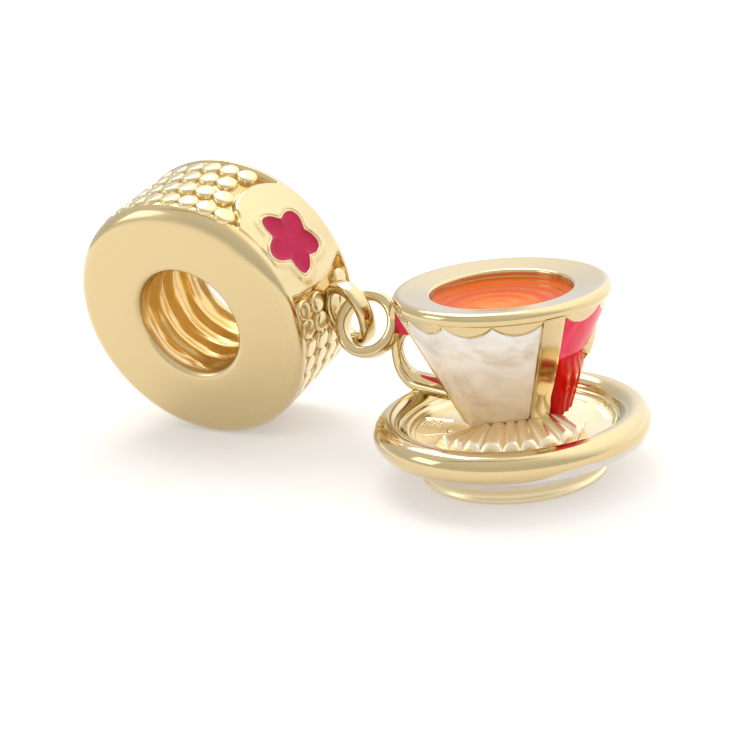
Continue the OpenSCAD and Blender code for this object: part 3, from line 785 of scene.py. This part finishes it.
def side_pad():
    """Smooth pad of gold beside the coloured panels: a pillow over the wall, fullest at height 4.6."""
    u, v = shares(60, 50)
    z = between(PAD_LOW, PAD_TOP, v)
    left = read(PAD_LEFT, z)
    full = 0.05 + 0.2 * np.exp(-((z - 4.6) / 0.65) ** 2)
    side = round_over(u / 0.16) * round_over((1 - u) / 0.4)
    ends = round_over(v / 0.1) * smooth(1 - v, 0, 0.2)
    return wall_sheet(between(left, PAD_RIGHT, u), wall(z) - 0.05 + side * ends * (full + 0.05), z, 0.12)


def panel_shell(start, end, low, high, right=None):
    """Enamel between two azimuths and two heights that may change with the azimuth, and a right edge that
    may change with the height. Its face stands level with the wall and turns down at its edges."""
    u = np.concatenate([[0, 0.004, 0.015], np.linspace(0.03, 0.97, 120), [0.985, 0.996, 1]])[:, None]
    v = np.concatenate([[0, 0.006, 0.02], np.linspace(0.05, 0.95, 24), [0.98, 0.994, 1]])[None]
    azimuth = between(start, end, u) + 0 * v
    z = between(low(azimuth), high(azimuth), v)
    if right is not None:
        azimuth = between(start, right(z), u)
    edge = np.minimum(np.minimum(u, 1 - u) / 0.02, np.minimum(v, 1 - v) / 0.03)
    r = wall(z) + 0.012 - MENISCUS * (1 - np.clip(edge, 0, 1)) ** 2
    return wall_sheet(azimuth, r, z, 0.08)


def drape_shell():
    """Pleated red drape: it swells from the wall towards its foot, in soft uneven pleats, which are a
    cosine of the way across with a phase that drifts."""
    u, v = shares(90, 40)
    z = between(DRAPE_LOW, DRAPE_TOP, v)
    left = BAR_LEFT + np.degrees(np.arcsin((BAR_W + 0.02) / wall(z)))
    swell = 0.42 * (1 - v) ** 0.9 + 0.02
    pleats = 0.5 + 0.5 * np.cos(2 * np.pi * (4.6 * u + 0.25 * np.sin(3 * v + 4 * u)))
    edge = smooth(u, 0, 0.07) * smooth(1 - u, 0, 0.07) * smooth(1 - v, 0, 0.06)
    r = wall(z) - 0.03 + edge * (swell * (0.8 + 0.2 * pleats) + 0.03)
    return wall_sheet(between(left, read(DRAPE_RIGHT, z), u), r, z, 0.1)


def tea_shell():
    """Tea as a disc with rings of ripples round a place a little in front of its middle, and a rise of
    0.05 where it wets the well's wall."""
    reach = np.concatenate([[0.001, 0.006], np.linspace(0.02, 1, 60)])[None] * (TEA_R - 0.01)
    turn = full_turn(160)
    x, y = reach * np.cos(np.radians(turn)), reach * np.sin(np.radians(turn))
    ripple = 0.018 * np.cos(2 * np.pi * np.hypot(x - 0.2, y + 0.9) / 0.62) * smooth(TEA_R - reach, 0, 0.5)
    rise = 0.05 * smooth(reach, TEA_R - 0.3, TEA_R)
    return round_sheet_shell(round_cup(turn, reach, TEA_Z + ripple + rise),
                             round_cup(turn, reach, TEA_Z - 0.1))


# Saucer
def saucer_relief(azimuth, r):
    """Sunk work in the well: a framed panel with beads on the left, a groove beside it, a slot, a framed
    field of small ridges and a curved line on the right."""
    def window(start, end, inner, outer, edge=0.05):
        along = np.minimum(azimuth - start, end - azimuth) * np.pi / 180 * r
        return smooth(np.minimum(along, np.minimum(r - inner, outer - r)), 0, edge)
    beads = np.clip(np.sin(azimuth * 1.9) * np.sin(r * 21) * smooth(r, 2.3, 2.9), 0, 1)
    ridges = (0.55 + 0.45 * np.sin(azimuth * 1.25)) * (0.8 + 0.2 * np.sin(r * 17))
    height = -0.07 * window(-183, -131, 2.35, 3.62) * (1 - 0.5 * beads * smooth(azimuth, -160, -178))
    height = height - 0.05 * window(-152, -150, 2.2, 3.3, 0.06)
    height = height - 0.09 * window(60, 86, 3.3, 3.62)
    height = height - 0.08 * window(25, 50, 3.35, 4.0) * ridges
    return height - 0.04 * window(2, 24, 2.62, 2.72)


def saucer_casting():
    """Saucer as a closed surface of revolution: well with its relief, rolled rim, underside and foot."""
    well = [(0.3, WELL_Z)] + [(r, WELL_Z) for r in np.linspace(1.2, 3.7, 84)]
    step = arc((3.62, WELL_Z + 0.26), 0.26, -70, -8, 7)
    roll = arc((ROLL_R, SAUCER_Z), SAUCER_ROLL, 172, ROLL_START, 44)
    under = [row[:2] for row in UNDERSIDE[::-1]]
    under += [(FOOT_R - 0.02, FOOT_H - 0.06), (FOOT_R - 0.11, FOOT_H - 0.18), (FOOT_R - 0.12, FOOT_H - 0.3)]
    foot = arc((FOOT_R - 0.04 - FOOT_ROUND, FOOT_ROUND), FOOT_ROUND, 50, -90, 10) + [(0.3, 0.0)]
    r, z = np.array(well + step + roll + under + foot).T
    relieved = np.arange(len(r)) < len(well) + 5
    azimuth = full_turn(480, -180)
    relief = saucer_relief(azimuth + 0 * r, r + 0 * azimuth) * relieved
    return ring_shell(round_cup(azimuth, r, z + relief))


def fan_shell():
    """Pleated fan: rounded pleats, a sine to a power, that widen outwards, from the wall's foot down to
    the well."""
    across, out = shares(PLEATS * 12 + 1, 26)
    azimuth = between(FAN_START, FAN_END, across) + 1.3 * np.sin(across * 17)
    foot = foot_line(azimuth)
    inner = wall(foot) + 0.06
    r = between(inner, FAN_R, out)
    fall = foot + 0.02 + (WELL_Z + 0.06 - foot) * out ** 1.15
    pleat = np.abs(np.sin(np.pi * PLEATS * across)) ** 0.55
    height = (0.12 + 0.24 * out) * pleat * smooth(1 - out, 0, 0.1)
    side = smooth(across, 0, 0.01) * smooth(1 - across, 0, 0.01)
    z = np.maximum(fall + height * side, WELL_Z - 0.05)
    return sheet_shell(round_cup(azimuth, r, z), round_cup(azimuth, r, WELL_Z - 0.1))


def saucer_band():
    """White band under the saucer's roll, laid along the underside and the roll; on the right its upper
    edge climbs the roll in a wave."""
    azimuth = full_turn(240, -180)
    roll_end = 14
    roll = arc((ROLL_R, SAUCER_Z), SAUCER_ROLL, ROLL_START, roll_end, 16)
    line = np.array([row[:2] for row in UNDERSIDE] + roll)
    facing = np.concatenate([[row[2] for row in UNDERSIDE], np.linspace(ROLL_START, roll_end, 16)])
    share = np.concatenate([[0, 0.02, 0.06], np.linspace(0.12, 0.9, 16), [0.95, 0.98, 1.0]])[None]
    reach = read(BAND_WIDTH, azimuth) * share
    r, z, tilt = (np.interp(reach, way_along(line), column) for column in (line[:, 0], line[:, 1], facing))
    lift = 0.02 * smooth(share, 0, 0.06) * smooth(1 - share, 0, 0.06) - 0.006
    way_r, way_z = np.cos(np.radians(tilt)), np.sin(np.radians(tilt))
    return round_sheet_shell(round_cup(azimuth, r + lift * way_r, z + lift * way_z),
                             round_cup(azimuth, r - 0.07 * way_r, z - 0.07 * way_z))


# Handle
def handle_path():
    """Middle line of the handle's wire: out under the rim, down, and in to the cup's foot."""
    path = [(wall(HANDLE_TOP) - 0.2, HANDLE_TOP)]
    path += arc((HANDLE_OUT - BEND_TOP, HANDLE_TOP - BEND_TOP), BEND_TOP, 90, 0, 14)
    path += [(HANDLE_OUT + 0.03, 4.6), (HANDLE_OUT + 0.04, 4.1)]
    path += arc((HANDLE_OUT - BEND_LOW, HANDLE_LOW + BEND_LOW), BEND_LOW, 0, -90, 14)
    path += [(3.6, HANDLE_LOW - 0.03), (2.7, HANDLE_LOW - 0.06), (wall(HANDLE_LOW) - 0.2, HANDLE_LOW - 0.1)]
    return np.array(path)


def handle_wire():
    """The handle's wire: a round section with slightly flattened sides carried along its path, which is
    evened by a weighted mean of five."""
    path = handle_path()
    length = way_along(path)
    at = np.linspace(0, length[-1], 90)
    x, z = np.interp(at, length, path[:, 0]), np.interp(at, length, path[:, 1])
    kernel = np.array([1, 2, 3, 2, 1]) / 9
    x[2:-2], z[2:-2] = np.convolve(x, kernel, "valid"), np.convolve(z, kernel, "valid")
    dx, dz = np.gradient(x), np.gradient(z)
    norm = np.hypot(dx, dz)
    deep, wide = soft_square(full_turn(20).T, 0.85)
    deep, wide = deep * HANDLE_WIRE, wide * HANDLE_WIRE
    out = x[:, None] + deep * (dz / norm)[:, None]
    up = z[:, None] - deep * (dx / norm)[:, None]
    return tube_shell(across_handle(out, wide, up))


def handle_web():
    """Thin web between the handle's wire and the cup, above and below the finger hole, whose outer end is
    a half circle."""
    path = handle_path()
    middle = (FINGER_LOW + FINGER_TOP) / 2
    radius = (FINGER_TOP - FINGER_LOW) / 2
    bend = HANDLE_OUT - HANDLE_WIRE - radius
    u, v = shares(60, 12)
    x = between(WEB_START, HANDLE_OUT - HANDLE_WIRE * 0.6, u)
    rise = np.sqrt(np.clip(radius ** 2 - np.clip(x - bend, 0, radius) ** 2, 0, None))
    shells = []
    for up, line in ((1, path[path[:, 1] > middle]), (-1, path[path[:, 1] < middle][::-1])):
        z = between(middle + up * rise, read(line, x), v)
        out = np.maximum(x, wall(z) - 0.15)
        shells.append(sheet_shell(across_handle(out, WEB_HALF, z), across_handle(out, -WEB_HALF, z)))
    return shells


def handle_flare(side):
    """Enamel below the finger hole: it narrows away from the cup and its face bulges a little."""
    u, v = shares(40, 20)
    z = between(FLARE_LOW + 0.27 * u ** 2.2, FLARE_TOP - 0.02 * u, v)
    x = between(wall(z) + 0.03, FLARE_END, u)
    edge = np.minimum(np.minimum(u, 1 - u) / 0.12, np.minimum(v, 1 - v) / 0.25)
    face = WEB_HALF + 0.02 + 0.07 * round_over(edge)
    return sheet_shell(across_handle(x, -side * face, z), across_handle(x, -side * (WEB_HALF - 0.05), z))


# Rings, where the solids have them: the bead's ring lies a share of both radii from the handle's
HANDLE_AXES = rotation("Z", HANDLE_TURN)
RING_B_PLACE = HANDLE_AXES @ np.array([HANDLE_OUT + RING_B_R - 0.02, 0.4, RIM_Z - 2.04])
RING_B_TURN = HANDLE_AXES @ rotation("Z", 18) @ rotation("X", 28)
RING_A_PLACE = RING_B_PLACE + np.array([-0.95, 0.25, 0.3]) * 0.46 * (RING_A_R + RING_B_R)
RING_A_TURN = rotation("X", LEAN) @ rotation("Z", -24)


def add_charm():
    """All pieces of the charm, with the node that each stands for."""
    def gold(name, shells, node, material=GOLD):
        add_piece(name, shells, material, [node])

    dots = dot_places()
    gold("bead_casting", [bead_casting(dots)], "bead", BEAD_GOLD)
    gold("bead_dots", dot_shells(dots), "bead", DOT_GOLD)
    gold("flower_lines", [flower_line(k) for k in range(PLATE_COUNT)], "bead")
    for k in range(PLATE_COUNT):
        add_piece(f"flower_face_{k + 1}", [flower_enamel(k)], FLOWER,
                  [f"flower_enamel_{k + 1}"])
    gold("ring_on_bead", [ring(RING_A_R + GROWN, RING_A_PLACE, RING_A_TURN)], "bead")
    gold("ring_on_handle", [ring(RING_B_R + GROWN, RING_B_PLACE, RING_B_TURN)], "teacup")
    gold("cup_casting", [cup_casting()], "teacup")
    gold("cup_apron", [apron_shell()], "teacup")
    gold("cup_bar", [bar_shell()], "teacup")
    gold("saucer_casting", [saucer_casting()], "teacup", SAUCER_GOLD)
    gold("saucer_fan", [fan_shell()], "teacup", ROUGH_GOLD)
    gold("handle_wire", [handle_wire()], "teacup")
    gold("handle_web", handle_web(), "teacup")
    gold("cup_edge_line", [edge_line()], "teacup")
    gold("cup_side_pad", [side_pad()], "teacup")

    front = panel_shell(-138, BAR_LEFT - 0.9, foot_line, lambda a: apron_edge(a) - 0.055)
    add_piece("white_panel_front", [front], PEARL, ["pearl_panel_front"])
    back = panel_shell(34, 145, lambda a: 2.52 + 0 * a, lambda a: apron_edge(a) + 0.03)
    add_piece("white_panel_back", [back], PEARL, ["pearl_panel_back"])
    pink = panel_shell(BAR_RIGHT + 0.2, 25, lambda a: PINK_LOW + 0 * a, lambda a: apron_edge(a) + 0.03,
                       right=lambda z: 25 - 27 * np.clip(5.7 - z, 0, None))
    add_piece("pink_face", [pink], PINK, ["pink_panel"])
    add_piece("red_pleats", [drape_shell()], RED, ["red_drape"])
    add_piece("tea_surface", [tea_shell()], tea_material(), ["tea_enamel"])
    add_piece("saucer_white_band", [saucer_band()], WHITE, ["saucer_enamel"])
    for side, name in ((1, "lower_front"), (-1, "lower_back")):
        add_piece("handle_" + name, [handle_flare(side)], HANDLE_RED, ["handle_enamel_" + name])
    for name in ("upper_front", "upper_back"):
        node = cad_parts["handle_enamel_" + name]
        node.data.materials.clear()
        node.data.materials.append(HANDLE_RED)


# Floor, light and camera
def floor():
    """White acrylic sheet lit from below: matt, with a glow of its own that softens the shadows."""
    material = new_material("white_acrylic", {
        "Base Color": linear("#D5D0CA"), "Emission Color": linear("#FFFFFF"), "Emission Strength": 0.32,
        "Roughness": 0.9, "Specular IOR Level": 0.1})[0]
    half = 400 * MM
    mesh = bpy.data.meshes.new("floor")
    corners = [(-half, -half, 0), (half, -half, 0), (half, half, 0), (-half, half, 0)]
    mesh.from_pydata(corners, [], [(0, 1, 2, 3)])
    mesh.materials.append(material)
    piece = bpy.data.objects.new("floor", mesh)
    bpy.context.scene.collection.objects.link(piece)


def add_gap(tree, way, power, axis, half, centre, reach):
    """Dark gap in the tent, which takes nine tenths of its light: a strip across an axis, no wider than
    half to each side, where the way's share towards centre is over reach."""
    across = add_node(tree, "VectorMath", {0: way}, {1: axis}, operation="DOT_PRODUCT")
    width = add_node(tree, "Math", {0: across}, operation="ABSOLUTE")
    strip = add_node(tree, "MapRange", {"Value": width}, {
        "From Min": half * 0.6, "From Max": half, "To Min": 0.9, "To Max": 0.0})
    near = add_node(tree, "VectorMath", {0: way}, {1: centre}, operation="DOT_PRODUCT")
    there = add_node(tree, "MapRange", {"Value": near},
                     {"From Min": reach, "From Max": reach + 0.08})
    mask = add_node(tree, "Math", {0: strip, 1: there}, operation="MULTIPLY")
    rest = add_node(tree, "Math", {1: mask}, {0: 1.0}, operation="SUBTRACT")
    return add_node(tree, "Math", {0: power, 1: rest}, operation="MULTIPLY")


# Lights: name, place, side and power in watts
LIGHTS = (("top_light", (-120, 90, 270), 190, 0.37), ("side_light", (-120, -90, 70), 60, 0.02))


def studio():
    """Light tent: a pale dome, nearly twice as bright on one side, with a dark gap, and two soft lights."""
    world = bpy.data.worlds.new("light_tent")
    bpy.context.scene.world = world
    world.use_nodes = True
    tree = world.node_tree
    tree.nodes.clear()
    way = add_node(tree, "TexCoord").outputs["Generated"]
    up = add_node(tree, "SeparateXYZ", {"Vector": way}).outputs["Z"]
    height = add_node(tree, "MapRange", {"Value": up}, {"From Min": -1.0})
    tone = add_node(tree, "ValToRGB", {"Fac": height},
                    stops=[(0.0, "#FFFFFF"), (0.5, "#F0F0F0"), (0.62, "#E4E4E4"), (1.0, "#FFFFFF")])
    bright_side = (0.42, 0.68, 0.6)
    toward = add_node(tree, "VectorMath", {0: way}, {1: bright_side}, operation="DOT_PRODUCT")
    power = add_node(tree, "MapRange", {"Value": toward}, {
        "From Min": 0.33, "From Max": 0.92, "To Min": 0.9, "To Max": 1.7}, interpolation_type="SMOOTHSTEP")
    power = add_gap(tree, way, power, axis=(-0.412, 0.877, 0.25), half=0.035,
                    centre=(-0.1, -0.3, 0.95), reach=0.85)
    light = add_node(tree, "Background", {"Color": tone, "Strength": power})
    add_node(tree, "OutputWorld", {"Surface": light})
    for name, place, side, watts in LIGHTS:
        data = bpy.data.lights.new(name, "AREA")
        data.shape = "SQUARE"
        data.size = side * MM
        data.energy = watts
        lamp = bpy.data.objects.new(name, data)
        bpy.context.scene.collection.objects.link(lamp)
        lamp.location = Vector(place) * MM
        lamp.rotation_euler = (-Vector(place)).to_track_quat("-Z", "Y").to_euler()


def camera():
    """The photograph's viewpoint: place, direction, roll and focal length, all in the model's frame."""
    place = Vector((25.02, -51.69, 22.68))
    azimuth, elevation, roll = np.radians(30.91), np.radians(17.58), np.radians(-5.955)
    focal_px, image_px, sensor_mm = 1648.27, 734, 36.0
    level = np.cos(elevation)
    ahead = Vector((-np.sin(azimuth) * level, np.cos(azimuth) * level, -np.sin(elevation)))
    right = Vector((np.cos(azimuth), np.sin(azimuth), 0))
    up = right.cross(ahead)
    right, up = np.cos(roll) * right + np.sin(roll) * up, -np.sin(roll) * right + np.cos(roll) * up
    data = bpy.data.cameras.new("camera")
    data.sensor_width = sensor_mm
    data.lens = focal_px / image_px * sensor_mm
    data.clip_start = MM
    view = bpy.data.objects.new("camera", data)
    bpy.context.scene.collection.objects.link(view)
    turn = Matrix((right, up, -ahead)).transposed()
    view.matrix_world = Matrix.Translation(place * MM) @ turn.to_4x4()
    bpy.context.scene.camera = view


add_charm()
floor()
studio()
camera()
bpy.context.scene.view_settings.view_transform = "Standard"
